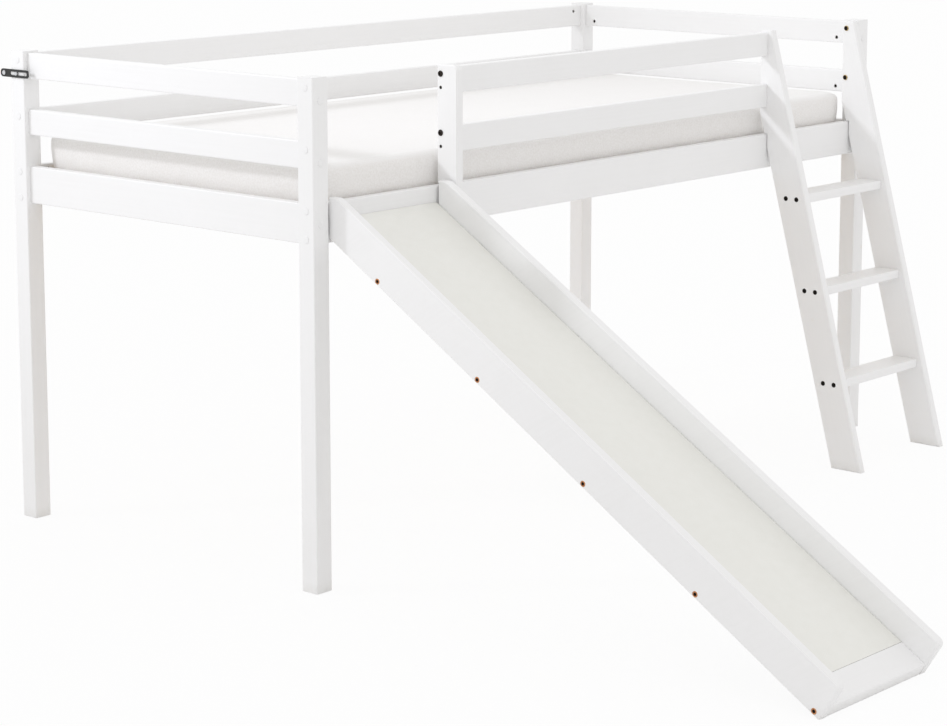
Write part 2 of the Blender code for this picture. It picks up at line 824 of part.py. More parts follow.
# Slats: planed pine laid across the supports and joined by two webbing tapes
slat_low_z = support_top + touch_gap
slat_high_z = slat_low_z + slat_thickness
slat_low_y = rail_half + slat_end_gap
slat_high_y = post_spacing_y - rail_half - slat_end_gap
slat_first_x = rail_low_x + slat_margin
slat_last_x = rail_high_x - slat_margin
slat_pitch = (slat_last_x - slat_first_x - slat_width) / (slat_count - 1)
for slat_number in range(1, slat_count + 1):
    slat_x = slat_first_x + slat_pitch * (slat_number - 1)
    timber(
        "slat_" + str(slat_number).zfill(2),
        (slat_x, slat_low_y, slat_low_z),
        (slat_x + slat_width, slat_high_y, slat_high_z),
        1,
        "bare pine",
        1,
    )
tape_low_z = slat_high_z + touch_gap
tape_high_z = tape_low_z + tape_thickness
for tape_name, tape_y in (
    ("front_slat_tape", slat_low_y + tape_inset),
    ("back_slat_tape", slat_high_y - tape_inset),
):
    tape_outline = [
        (slat_first_x, tape_y - tape_width / 2, tape_low_z),
        (slat_last_x, tape_y - tape_width / 2, tape_low_z),
        (slat_last_x, tape_y + tape_width / 2, tape_low_z),
        (slat_first_x, tape_y + tape_width / 2, tape_low_z),
    ]
    add_piece(tape_name, extrude_outline(tape_outline, along_z * tape_thickness), "white webbing")

# Mattress: a foam block in a cover, with soft edges, sides drawn in a little and a low crown
mattress_low_z = tape_high_z + touch_gap
mattress_high_z = mattress_low_z + mattress_thickness
mattress_half_x = (clear_length - mattress_slack_long) / 2
mattress_half_y = (clear_width - mattress_slack_wide) / 2
mattress_middle_x = rail_half + mattress_left_gap + mattress_half_x
mattress_middle_y = rail_half + mattress_front_gap + mattress_half_y


def mattress_ring(shape, inset, z):
    """A rounded rectangle of the mattress at height z, drawn in by an inset."""
    radius = max(mattress_corner_radius - inset, mattress_edge_radius)
    reach_x = mattress_half_x - inset - radius
    reach_y = mattress_half_y - inset - radius
    ring = []
    for quarter, (side_x, side_y) in enumerate(((1, 1), (-1, 1), (-1, -1), (1, -1))):
        for step in range(mattress_corner_steps + 1):
            angle = math.pi / 2 * (quarter + step / mattress_corner_steps)
            x = mattress_middle_x + side_x * reach_x + radius * math.cos(angle)
            y = mattress_middle_y + side_y * reach_y + radius * math.sin(angle)
            ring.append(shape.verts.new((x, y, z)))
    return ring


mattress_levels = []
for step in range(mattress_edge_steps + 1):
    turn = math.pi / 2 * step / mattress_edge_steps
    inset = mattress_edge_radius * (1 - math.sin(turn))
    mattress_levels.append((inset, mattress_low_z + mattress_edge_radius * (1 - math.cos(turn))))
mattress_levels.append((mattress_side_draw, (mattress_low_z + mattress_high_z) / 2))
for step in range(mattress_edge_steps, -1, -1):
    turn = math.pi / 2 * step / mattress_edge_steps
    inset = mattress_edge_radius * (1 - math.sin(turn))
    mattress_levels.append((inset, mattress_high_z - mattress_edge_radius * (1 - math.cos(turn))))
for crown_share in mattress_crown_shares:
    rise = mattress_crown * math.sin(crown_share * math.pi / 2)
    inset = mattress_edge_radius + crown_share * (mattress_half_y - mattress_edge_radius)
    mattress_levels.append((inset, mattress_high_z + rise))
mattress_shape = bmesh.new()
mattress_rings = [mattress_ring(mattress_shape, inset, z) for inset, z in mattress_levels]
mattress_shape.faces.new(mattress_rings[0])
mattress_shape.faces.new(mattress_rings[-1])
for lower, upper in zip(mattress_rings, mattress_rings[1:]):
    for step in range(len(lower)):
        following = (step + 1) % len(lower)
        mattress_shape.faces.new((lower[step], lower[following], upper[following], upper[step]))
add_piece("mattress", mattress_shape, "mattress cover")

# Wall strap: a slotted steel strap on the rear left post, which slides under its screw
strap_centre_height = post_height - strap_drop
strap_x = -post_half - touch_gap - strap_thickness
strap_rear_y = post_spacing_y + post_half + strap_rear_reach
strap_front_y = strap_rear_y - strap_length
slot_front_y = strap_front_y + slot_front_inset
slot_end_radius = slot_height / 2 - touch_gap


def strap_corners(front, rear, height, front_radius, rear_radius):
    """A long round-ended outline on the strap's centre line."""
    low = strap_centre_height - height / 2
    high = strap_centre_height + height / 2
    return rounded(
        [
            (front, low, front_radius),
            (rear, low, rear_radius),
            (rear, high, rear_radius),
            (front, high, front_radius),
        ]
    )


strap_outline = strap_corners(
    strap_front_y, strap_rear_y, strap_height, strap_front_radius, strap_rear_radius
)
strap = sawn_board(
    "wall_strap", strap_outline, strap_x, strap_x + strap_thickness, "black enamel steel", eased=0
)
slot_outline = strap_corners(
    slot_front_y, slot_front_y + slot_length, slot_height, slot_end_radius, slot_end_radius
)
slot_points = [(strap_x - cut_overrun, y, z) for y, z in slot_outline]
slot_shape = extrude_outline(slot_points, along_x * (strap_thickness + 2 * cut_overrun))
combine(strap, "wall_strap_slot", "DIFFERENCE", slot_shape)
rivet_place = [(Vector((strap_x, strap_rear_y - rivet_inset, strap_centre_height)), along_x)]
rivet_hole = [(strap_thickness + cut_overrun, rivet_bore)]
drill(strap, "wall_strap_rivet_hole", rivet_place, rivet_hole, round_sides)
rivet_far = strap_thickness + touch_gap
rivet_profile = [
    (-touch_gap - rivet_head_height, rivet_head * rim_share),
    (-touch_gap - rivet_head_height / 2, rivet_head),
    (-touch_gap, rivet_head),
    (-touch_gap, rivet_shank),
    (rivet_far, rivet_shank),
    (rivet_far, rivet_tail),
    (rivet_far + rivet_head_height, rivet_tail),
]
add_piece("wall_strap_rivet", turned(rivet_place, rivet_profile, round_sides), "zinc plate")
strap_screw_place = [(Vector((strap_x - touch_gap, post_spacing_y, strap_centre_height)), along_x)]
strap_screw_profile = [
    (-strap_screw_head_height, strap_screw_head * rim_share),
    (-strap_screw_head_height / 2, strap_screw_head),
    (0, strap_screw_head),
    (0, strap_screw_shank),
    (2 * touch_gap + strap_thickness + strap_screw_depth, strap_screw_shank),
]
strap_screw = turned(strap_screw_place, strap_screw_profile, round_sides)
add_piece("wall_strap_screw", strap_screw, "black oxide steel")
strap_screw_hole = [(Vector((-post_half, post_spacing_y, strap_centre_height)), along_x)]
strap_bore = [(strap_screw_depth + bore_end_play, strap_screw_bore)]
drill(posts["back_left_post"], "strap_screw_hole", strap_screw_hole, strap_bore)
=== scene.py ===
import math

import bmesh
import bpy
from mathutils import Euler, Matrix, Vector, noise


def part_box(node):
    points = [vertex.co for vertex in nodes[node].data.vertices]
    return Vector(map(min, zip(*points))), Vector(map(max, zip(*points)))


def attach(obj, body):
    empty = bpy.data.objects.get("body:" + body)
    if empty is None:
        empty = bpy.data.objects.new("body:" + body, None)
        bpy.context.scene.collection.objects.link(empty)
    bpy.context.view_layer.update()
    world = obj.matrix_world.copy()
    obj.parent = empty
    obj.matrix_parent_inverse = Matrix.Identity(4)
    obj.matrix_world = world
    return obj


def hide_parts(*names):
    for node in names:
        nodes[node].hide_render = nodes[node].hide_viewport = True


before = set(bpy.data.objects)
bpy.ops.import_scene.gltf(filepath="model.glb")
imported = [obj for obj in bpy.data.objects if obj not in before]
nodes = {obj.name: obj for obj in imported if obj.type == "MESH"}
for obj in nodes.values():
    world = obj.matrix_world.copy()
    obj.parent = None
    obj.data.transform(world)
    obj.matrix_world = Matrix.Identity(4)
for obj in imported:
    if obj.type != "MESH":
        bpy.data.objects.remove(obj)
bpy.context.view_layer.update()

# Posts: four 45 mm square legs of planed Scots pine with eased edges, from the floor to above the top rails.
# They are sprayed with two coats of white satin acrylic lacquer: the eye sees an even, soft white, with the
# growth rings as a faint relief, knots that stain through a little, and scuffs where the feet stand.


def linear(hex_colour):
    """An sRGB hex colour as the linear values that a material takes."""
    channels = [int(hex_colour[start : start + 2], 16) / 255 for start in (1, 3, 5)]
    return (*[c / 12.92 if c <= 0.04045 else ((c + 0.055) / 1.055) ** 2.4 for c in channels], 1)


def add_node(tree, kind, sockets=None, **settings):
    """Adds a node with its settings; each named socket takes a value or another node's output."""
    made = tree.nodes.new(kind)
    for setting, value in settings.items():
        setattr(made, setting, value)
    for socket, value in (sockets or {}).items():
        if isinstance(value, bpy.types.NodeSocket):
            tree.links.new(value, made.inputs[socket])
        else:
            made.inputs[socket].default_value = value
    return made


def start_material(name):
    """An empty material, named for the real one and its finish."""
    material = bpy.data.materials.new(name)
    material.use_nodes = True
    material.node_tree.nodes.clear()
    return material, material.node_tree


def lacquered_pine(name, grain_turn, board_shift):
    """White satin lacquer over planed pine, its grain along Z once grain_turn has turned it."""
    material, tree = start_material(name)
    place = add_node(tree, "ShaderNodeTexCoord").outputs["Object"]
    turned = add_node(
        tree, "ShaderNodeMapping", {"Vector": place, "Rotation": grain_turn, "Location": board_shift}
    )
    # Growth rings 5 mm apart run on for about 300 mm, and stand 0.06 mm proud under the lacquer.
    stretched = add_node(tree, "ShaderNodeMapping", {"Vector": turned.outputs[0], "Scale": (1, 1, 1 / 60)})
    rings = add_node(
        tree, "ShaderNodeTexNoise", {"Vector": stretched.outputs[0], "Scale": 1 / 0.005, "Detail": 2}
    )
    # Spray droplets dry to an orange peel of 1.5 mm.
    spray = add_node(tree, "ShaderNodeTexNoise", {"Vector": place, "Scale": 1 / 0.0015, "Detail": 1})
    relief = add_node(
        tree, "ShaderNodeBump", {"Height": rings.outputs["Fac"], "Strength": 0.7, "Distance": 0.00006}
    )
    peel = add_node(
        tree,
        "ShaderNodeBump",
        {"Height": spray.outputs["Fac"], "Strength": 0.5, "Distance": 0.00002, "Normal": relief.outputs[0]},
    )
    # The coats vary over about 120 mm, a little thinner where the hard rings stand up.
    coats = add_node(
        tree, "ShaderNodeTexNoise", {"Vector": turned.outputs[0], "Scale": 1 / 0.12, "Detail": 3}
    )
    thin = add_node(
        tree, "ShaderNodeMath", {0: coats.outputs["Fac"], 1: rings.outputs["Fac"]}, operation="MULTIPLY"
    )
    white = add_node(
        tree,
        "ShaderNodeMix",
        {"Factor": thin.outputs[0], 6: linear("#F6F6F6"), 7: linear("#F0F0EF")},
        data_type="RGBA",
    )
    # Resin from knots 15 mm across, about 150 mm apart, stains through faintly and with a soft edge.
    knots = add_node(tree, "ShaderNodeTexVoronoi", {"Vector": turned.outputs[0], "Scale": 6.5})
    knot_mask = add_node(
        tree,
        "ShaderNodeMapRange",
        {"Value": knots.outputs["Distance"], "From Min": 0.018, "From Max": 0.05, "To Min": 0.2, "To Max": 0},
    )
    stained = add_node(
        tree,
        "ShaderNodeMix",
        {"Factor": knot_mask.outputs[0], 6: white.outputs[2], 7: linear("#E6DFD0")},
        data_type="RGBA",
    )
    # Shoes and brooms scuff the lowest 25 mm of whatever stands on the floor.
    height = add_node(tree, "ShaderNodeSeparateXYZ", {"Vector": place})
    scuff_spots = add_node(tree, "ShaderNodeTexNoise", {"Vector": place, "Scale": 1 / 0.012, "Detail": 4})
    near_floor = add_node(
        tree,
        "ShaderNodeMapRange",
        {"Value": height.outputs["Z"], "From Min": 0.002, "From Max": 0.025, "To Min": 0.35, "To Max": 0},
    )
    scuffed = add_node(
        tree,
        "ShaderNodeMath",
        {0: near_floor.outputs[0], 1: scuff_spots.outputs["Fac"]},
        operation="MULTIPLY",
    )
    paint = add_node(
        tree,
        "ShaderNodeMix",
        {"Factor": scuffed.outputs[0], 6: stained.outputs[2], 7: linear("#CCC8C0")},
        data_type="RGBA",
    )
    # The satin sheen goes with the thickness of the coats.
    satin = add_node(
        tree, "ShaderNodeMapRange", {"Value": coats.outputs["Fac"], "To Min": 0.34, "To Max": 0.46}
    )
    shader = add_node(
        tree,
        "ShaderNodeBsdfPrincipled",
        {
            "Base Color": paint.outputs[2],
            "Roughness": satin.outputs[0],
            "Normal": peel.outputs[0],
            "IOR": 1.49,
        },
    )
    add_node(tree, "ShaderNodeOutputMaterial", {"Surface": shader.outputs[0]})
    return material


def finish(material, *names):
    """Gives CAD nodes their finish."""
    for name in names:
        piece = nodes[name]
        piece.data.materials.clear()
        piece.data.materials.append(material)


upright_grain = (0, 0, 0)
post_names = ["front_left_post", "front_right_post", "back_left_post", "back_right_post"]
for number, name in enumerate(post_names):
    shift = (0.37 * number, 0.11 * number, 0.53 * number)
    finish(lacquered_pine("satin lacquered pine, " + name.replace("_", " "), upright_grain, shift), name)

# Bolt caps: white ABS discs, 15.8 mm wide and injection moulded, pushed in over the frame's bolt heads.
# The plastic is a little colder and glossier than the lacquer, and a fine shadow line shows round each rim.
# Their places are read from the plain caps of the CAD posts, which stand 1.2 mm proud.
cap_radius = 0.0079
cap_rise = 0.0013
cap_sink = 0.0004
plain_cap_rise = 0.0012
widest_disc = 0.016
flat_play = 0.00005
sharp_edge = math.radians(38)


def disc_places(name, axis, plane=None, outward=1):
    """The middles of the small round faces of a CAD node that lie in a plane, or in its outermost one."""
    points = [vert.co.copy() for vert in nodes[name].data.vertices]
    if plane is None:
        plane = max(point[axis] * outward for point in points) * outward
    left = [point for point in points if abs(point[axis] - plane) < flat_play]
    middles = []
    while left:
        near = [point for point in left if (point - left[0]).length < widest_disc]
        left = [point for point in left if (point - left[0]).length >= widest_disc]
        low = Vector([min(point[i] for point in near) for i in range(3)])
        high = Vector([max(point[i] for point in near) for i in range(3)])
        middles.append((low + high) / 2)
    return middles


def lathe(name, places, profile, sides, hex_rings=(), inner_ring=None):
    """One mesh of turned solids, at each (middle, outward direction), from a profile of (radius, rise).

    A ring whose number is in hex_rings is a hexagon, its radius measured to a flat.
    The faces from inner_ring to the middle take the second material."""
    shape = bmesh.new()
    for middle, outward in places:
        turn = outward.to_track_quat("Z", "Y")
        rings = []
        for number, (radius, rise) in enumerate(profile):
            ring = []
            for step in range(sides):
                angle = math.tau * step / sides
                width = radius
                if number in hex_rings:
                    width = radius / math.cos((angle + math.pi / 6) % (math.pi / 3) - math.pi / 6)
                across = Vector((math.cos(angle) * width, math.sin(angle) * width, rise))
                ring.append(shape.verts.new(middle + turn @ across))
            rings.append(ring)
        shape.faces.new(rings[0][::-1])
        middle_face = shape.faces.new(rings[-1])
        middle_face.material_index = 0 if inner_ring is None else 1
        for number, (lower, upper) in enumerate(zip(rings, rings[1:])):
            for step in range(sides):
                after = (step + 1) % sides
                face = shape.faces.new((lower[step], lower[after], upper[after], upper[step]))
                if inner_ring is not None and number >= inner_ring:
                    face.material_index = 1
    bmesh.ops.recalc_face_normals(shape, faces=shape.faces)
    mesh = bpy.data.meshes.new(name)
    shape.to_mesh(mesh)
    shape.free()
    mesh.shade_smooth()
    mesh.set_sharp_from_angle(angle=sharp_edge)
    piece = bpy.data.objects.new(name, mesh)
    bpy.context.scene.collection.objects.link(piece)
    return piece


def moulded_plastic(name, colour, roughness):
    """Injection moulded ABS: an even colour, with the fine spark-eroded texture of its mould."""
    material, tree = start_material(name)
    place = add_node(tree, "ShaderNodeTexCoord").outputs["Object"]
    # The mould's grain is about 0.4 mm.
    grain = add_node(tree, "ShaderNodeTexNoise", {"Vector": place, "Scale": 1 / 0.0004, "Detail": 1})
    bump = add_node(
        tree, "ShaderNodeBump", {"Height": grain.outputs["Fac"], "Strength": 0.4, "Distance": 0.00001}
    )
    # The colour clouds over about 6 mm.
    cloud = add_node(tree, "ShaderNodeTexNoise", {"Vector": place, "Scale": 1 / 0.006, "Detail": 2})
    tone = add_node(
        tree,
        "ShaderNodeMix",
        {"Factor": cloud.outputs["Fac"], 6: linear(colour[0]), 7: linear(colour[1])},
        data_type="RGBA",
    )
    shader = add_node(
        tree,
        "ShaderNodeBsdfPrincipled",
        {"Base Color": tone.outputs[2], "Roughness": roughness, "IOR": 1.54, "Normal": bump.outputs[0]},
    )
    add_node(tree, "ShaderNodeOutputMaterial", {"Surface": shader.outputs[0]})
    return material


along_x = Vector((1, 0, 0))
along_y = Vector((0, 1, 0))
cap_places = []
for name, side, depth in (
    ("front_left_post", -1, -1),
    ("front_right_post", 1, -1),
    ("back_left_post", -1, 1),
    ("back_right_post", 1, 1),
):
    for middle in disc_places(name, 0, outward=side):
        middle.x -= side * plain_cap_rise
        cap_places.append((middle, along_x * side))
    for middle in disc_places(name, 1, outward=depth):
        middle.y -= depth * plain_cap_rise
        cap_places.append((middle, along_y * depth))
cap_profile = [
    (cap_radius, -cap_sink),
    (cap_radius, cap_rise - 0.00025),
    (cap_radius - 0.0001, cap_rise - 0.0001),
    (cap_radius - 0.0004, cap_rise - 0.00002),
    (cap_radius * 0.4, cap_rise),
]
bolt_caps = lathe("bolt_caps", cap_places, cap_profile, 32)
bolt_caps.data.materials.append(moulded_plastic("white moulded ABS", ("#F5F5F5", "#F1F1F1"), 0.34))
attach(bolt_caps, "bed")

# Rails and side boards: 22 mm pine, rails 58 mm and side boards 85 mm high, butted and bolted to the posts.
# They have the posts' lacquer, and their grain runs along them.
long_grain = (0, math.pi / 2, 0)
cross_grain = (math.pi / 2, 0, 0)
long_boards = ["front_side_board", "back_side_board", "back_middle_rail", "back_top_rail"]
end_boards = [
    side + part for side in ("left_", "right_") for part in ("top_rail", "middle_rail", "side_board")
]
for number, name in enumerate(long_boards + end_boards):
    turn = long_grain if name in long_boards else cross_grain
    shift = (0.23 * number, 0.41 * number, 0.19 * number)
    finish(lacquered_pine("satin lacquered pine, " + name.replace("_", " "), turn, shift), name)

# Barrel nuts: browned steel cylinders in cross holes near the rails' ends, which the frame bolts screw into.
# Each shows its end 4.5 mm below the rail's inner face: a thin brown rim that glints round a hollow painted
# near black as shade.
nut_radius = 0.0047
nut_rim = 0.001
nut_recess = 0.0045


def blackened_steel(name, colour, roughness):
    """Steel with a thin oiled oxide or copper wash: a dull metal, clouded, and shinier in patches."""
    material, tree = start_material(name)
    place = add_node(tree, "ShaderNodeTexCoord").outputs["Object"]
    # The film clouds over about 3 mm.
    cloud = add_node(tree, "ShaderNodeTexNoise", {"Vector": place, "Scale": 1 / 0.003, "Detail": 3})
    tone = add_node(
        tree,
        "ShaderNodeMix",
        {"Factor": cloud.outputs["Fac"], 6: linear(colour[0]), 7: linear(colour[1])},
        data_type="RGBA",
    )
    dull = add_node(
        tree,
        "ShaderNodeMapRange",
        {"Value": cloud.outputs["Fac"], "To Min": roughness - 0.06, "To Max": roughness + 0.12},
    )
    bump = add_node(
        tree, "ShaderNodeBump", {"Height": cloud.outputs["Fac"], "Strength": 0.4, "Distance": 0.00002}
    )
    shader = add_node(
        tree,
        "ShaderNodeBsdfPrincipled",
        {
            "Base Color": tone.outputs[2],
            "Metallic": 0.8,
            "Roughness": dull.outputs[0],
            "Normal": bump.outputs[0],
        },
    )
    add_node(tree, "ShaderNodeOutputMaterial", {"Surface": shader.outputs[0]})
    return material


browned_steel = blackened_steel("browned steel", ("#5A452F", "#7C6040"), 0.32)
# Painted shade: the shallow sockets and hollows of the heads are drawn near black, as deep holes would look
# dark.
socket_painted_shade = blackened_steel("painted near black shade in the hollow of a steel head", ("#0C0B0A", "#171412"), 0.6)
nut_places = []
for name in ["back_side_board", "back_middle_rail", "back_top_rail"]:
    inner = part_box(name)[0].y
    nut_places += [(middle, -along_y) for middle in disc_places(name, 1, inner + nut_recess)]
for name in ["front_side_board", "guard_top_rail", "guard_middle_rail"]:
    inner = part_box(name)[1].y
    nut_places += [(middle, along_y) for middle in disc_places(name, 1, inner - nut_recess)]
for name in end_boards:
    if name.startswith("left"):
        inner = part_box(name)[1].x
        nut_places += [(middle, along_x) for middle in disc_places(name, 0, inner - nut_recess)]
    else:
        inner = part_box(name)[0].x
        nut_places += [(middle, -along_x) for middle in disc_places(name, 0, inner + nut_recess)]
nut_profile = [
    (nut_radius, -0.0002),
    (nut_radius, 0.0008),
    (nut_radius - 0.0002, nut_rim),
    (nut_radius - 0.0007, nut_rim),
    (nut_radius - 0.0011, 0.0002),
    (0.0006, 0.0001),
]
barrel_nuts = lathe("barrel_nut_ends", nut_places, nut_profile, 24, inner_ring=3)
barrel_nuts.data.materials.append(browned_steel)
barrel_nuts.data.materials.append(socket_painted_shade)
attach(barrel_nuts, "bed")

# Guard: an upright board on edge beside the slide, its top front corner rounded, and two rails to the ladder.
# They are planed pine, lacquered like the rest, with the upright's grain up and the rails' grain along them.
finish(lacquered_pine("satin lacquered pine, guard upright", upright_grain, (1.7, 0.4, 0.9)), "guard_upright")
for number, name in enumerate(["guard_top_rail", "guard_middle_rail"]):
    shift = (2.1 + number, 0.3, 0.6)
    finish(lacquered_pine("satin lacquered pine, " + name.replace("_", " "), long_grain, shift), name)

# Guard and stile bolts: M6 steel bolts with low 13.5 mm heads and 5 mm hexagon sockets, blackened in oil.
# The eye sees near black discs with a soft rim of light, and a socket painted darker as shade.
# Inside, the right stile's bolts show a yellow plated rim round a middle painted near black as shade.
bolt_head_radius = 0.00675
bolt_head_rise = 0.0026
plain_head_rise = 0.0024
bolt_socket_rim = 0.0028
bolt_socket = 0.0025


def plated_steel(name, colour, roughness):
    """Zinc plate on turned or pressed steel: a bright metal with fine spangles, dulled a little."""
    material, tree = start_material(name)
    place = add_node(tree, "ShaderNodeTexCoord").outputs["Object"]
    # Zinc dulls in patches of about 2 mm.
    patches = add_node(tree, "ShaderNodeTexNoise", {"Vector": place, "Scale": 1 / 0.002, "Detail": 3})
    tone = add_node(
        tree,
        "ShaderNodeMix",
        {"Factor": patches.outputs["Fac"], 6: linear(colour[0]), 7: linear(colour[1])},
        data_type="RGBA",
    )
    dull = add_node(
        tree,
        "ShaderNodeMapRange",
        {"Value": patches.outputs["Fac"], "To Min": roughness - 0.08, "To Max": roughness + 0.1},
    )
    bump = add_node(
        tree, "ShaderNodeBump", {"Height": patches.outputs["Fac"], "Strength": 0.3, "Distance": 0.00002}
    )
    shader = add_node(
        tree,
        "ShaderNodeBsdfPrincipled",
        {
            "Base Color": tone.outputs[2],
            "Metallic": 1,
            "Roughness": dull.outputs[0],
            "Normal": bump.outputs[0],
        },
    )
    add_node(tree, "ShaderNodeOutputMaterial", {"Surface": shader.outputs[0]})
    return material


black_oxide = blackened_steel("blackened steel", ("#24201D", "#3A322C"), 0.42)
bolt_names = [
    "upright_top_bolt",
    "upright_middle_bolt",
    "left_stile_top_bolt",
    "left_stile_middle_bolt",
    "right_stile_top_bolt",
    "right_stile_middle_bolt",
]
finish(black_oxide, *bolt_names)
bolt_places = []
for name in bolt_names:
    low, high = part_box(name)
    middle = (low + high) / 2
    outward = along_x if name.startswith("left_stile") else -along_x
    middle.x = high.x - plain_head_rise if name.startswith("left_stile") else low.x + plain_head_rise
    bolt_places.append((middle, outward))
bolt_profile = [
    (bolt_head_radius + 0.0001, -0.0001),
    (bolt_head_radius + 0.0001, 0.0009),
    (bolt_head_radius - 0.0004, 0.0017),
    (bolt_head_radius - 0.0016, 0.0024),
    (bolt_head_radius - 0.0028, bolt_head_rise),
    (bolt_socket_rim, bolt_head_rise),
    (bolt_socket, bolt_head_rise - 0.0002),
    (bolt_socket, 0.0008),
    (0.0006, 0.0004),
]
bolt_heads = lathe("guard_bolt_heads", bolt_places[:4], bolt_profile, 36, hex_rings=(5, 6, 7), inner_ring=5)
bolt_heads.data.materials.append(black_oxide)
stile_bolt_heads = lathe(
    "stile_bolt_heads", bolt_places[4:], bolt_profile, 36, hex_rings=(5, 6, 7), inner_ring=3
)
stile_bolt_heads.data.materials.append(plated_steel("yellow plated steel", ("#CDB684", "#B89C66"), 0.3))
# Their sockets, and the middles of the right stile's heads, take the near black of painted shade.
for piece in (bolt_heads, stile_bolt_heads):
    piece.data.materials.append(socket_painted_shade)
    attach(piece, "bed")

# Ladder: two leaning stiles, sawn level at the foot and notched over the side board, and three flat treads.
# The pine is lacquered as the frame is, with the grain up the stiles and along the treads.
stile_lean = math.radians(15.1)
stile_grain = (stile_lean, 0, 0)
for number, name in enumerate(["ladder_left_stile", "ladder_right_stile"]):
    shift = (3.3 + number, 0.7, 0.2)
    finish(lacquered_pine("satin lacquered pine, " + name.replace("_", " "), stile_grain, shift), name)
for number, name in enumerate(["ladder_tread_1", "ladder_tread_2", "ladder_tread_3"]):
    shift = (0.4 + number, 1.3, 0.8)
    finish(lacquered_pine("satin lacquered pine, " + name.replace("_", " "), long_grain, shift), name)

# Tread and slide screws: 6 mm panel screws, their heads 12 mm wide with 6 mm hexagon sockets, let in flush.
# The treads' are blackened. The slide's have a copper brown wash: their rims glint warm round sockets painted
# black as shade.
large_head_radius = 0.006
large_head_rise = 0.0006
large_socket_rim = 0.0034
large_socket = 0.0031
copper_steel = blackened_steel("copper brown plated steel", ("#B5764A", "#D09568"), 0.3)
large_places = []
for name in ["ladder_tread_1", "ladder_tread_2", "ladder_tread_3"]:
    large_places += [(middle, -along_x) for middle in disc_places(name, 0, outward=-1)]
    large_places += [(middle, along_x) for middle in disc_places(name, 0, outward=1)]
slide_cross_pieces = ["slide_batten_" + str(number) for number in range(1, 5)] + ["slide_end_board"]
slide_places = []
for name in slide_cross_pieces:
    slide_places += [(middle, -along_x) for middle in disc_places(name, 0, outward=-1)]
    slide_places += [(middle, along_x) for middle in disc_places(name, 0, outward=1)]
large_profile = [
    (large_head_radius + 0.0001, -0.0001),
    (large_head_radius + 0.0001, 0.0002),
    (large_head_radius - 0.0006, large_head_rise),
    (large_socket_rim, large_head_rise),
    (large_socket, 0.00045),
    (large_socket, 0.0001),
    (0.0005, 0.00005),
]
tread_screws = lathe("tread_screw_heads", large_places, large_profile, 36, hex_rings=(3, 4, 5), inner_ring=3)
tread_screws.data.materials.append(black_oxide)
slide_screws = lathe("slide_screw_heads", slide_places, large_profile, 36, hex_rings=(3, 4, 5), inner_ring=3)
slide_screws.data.materials.append(copper_steel)
# Their sockets take the near black of painted shade.
for piece in (tread_screws, slide_screws):
    piece.data.materials.append(socket_painted_shade)
    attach(piece, "bed")

# Small screws: 4.5 mm countersunk wood screws, heads 7 mm wide with small recesses painted dark as shade,
# blackened in oil.
# One sits under each guard bolt, and others hold the upright and the stiles to the side board from inside.
small_head_radius = 0.0036
small_head_rise = 0.0005
upright_screw_spacing = 0.050
upright_screw_sink = 0.0006
small_places = []
for name in ["guard_top_rail", "guard_middle_rail"]:
    small_places += [(middle, -along_x) for middle in disc_places(name, 0, outward=-1)]
    small_places += [(middle, along_x) for middle in disc_places(name, 0, outward=1)]
for name in ["left_stile_screw", "right_stile_screw"]:
    small_places += [(middle, along_y) for middle in disc_places(name, 1, outward=1)]
upright_low, upright_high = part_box("guard_upright")
board_low, board_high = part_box("front_side_board")
upright_middle_x = (upright_low.x + upright_high.x) / 2
board_middle_z = (board_low.z + board_high.z) / 2
for side in (-1, 1):
    screw_z = board_middle_z + side * upright_screw_spacing / 2
    small_places.append((Vector((upright_middle_x, board_high.y - upright_screw_sink, screw_z)), along_y))
small_profile = [
    (small_head_radius, -0.0001),
    (small_head_radius, 0.0002),
    (small_head_radius - 0.0004, small_head_rise),
    (0.0019, small_head_rise),
    (0.0016, 0.0003),
    (0.0004, 0.0),
]
small_screws = lathe("small_screw_heads", small_places, small_profile, 28, hex_rings=(3, 4), inner_ring=3)
small_screws.data.materials.append(black_oxide)
# The recesses take the near black of painted shade.
small_screws.data.materials.append(socket_painted_shade)
finish(black_oxide, "left_stile_screw", "right_stile_screw")
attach(small_screws, "bed")

# Slide: two 22 x 85 mm pine walls, four cross battens and a foot board, all lacquered white.
# The grain of the walls runs down the slope, and that of the battens and the foot board across it.
slide_fall = math.radians(31.5)
slope_grain = (-(math.pi / 2 - slide_fall), 0, 0)
for number, name in enumerate(["slide_left_wall", "slide_right_wall"]):
    shift = (4.1 + number, 0.2, 0.5)
    finish(lacquered_pine("satin lacquered pine, " + name.replace("_", " "), slope_grain, shift), name)
for number, name in enumerate(slide_cross_pieces):
    shift = (0.9 + number, 0.6, 1.1)
    finish(lacquered_pine("satin lacquered pine, " + name.replace("_", " "), long_grain, shift), name)

# Slide panel: 4 mm hardboard faced with cream-white melamine, hot pressed to a smooth gloss.
# Sliding children leave hair-fine scratches down the slope and a duller track along the middle.
panel_low, panel_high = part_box("slide_panel")


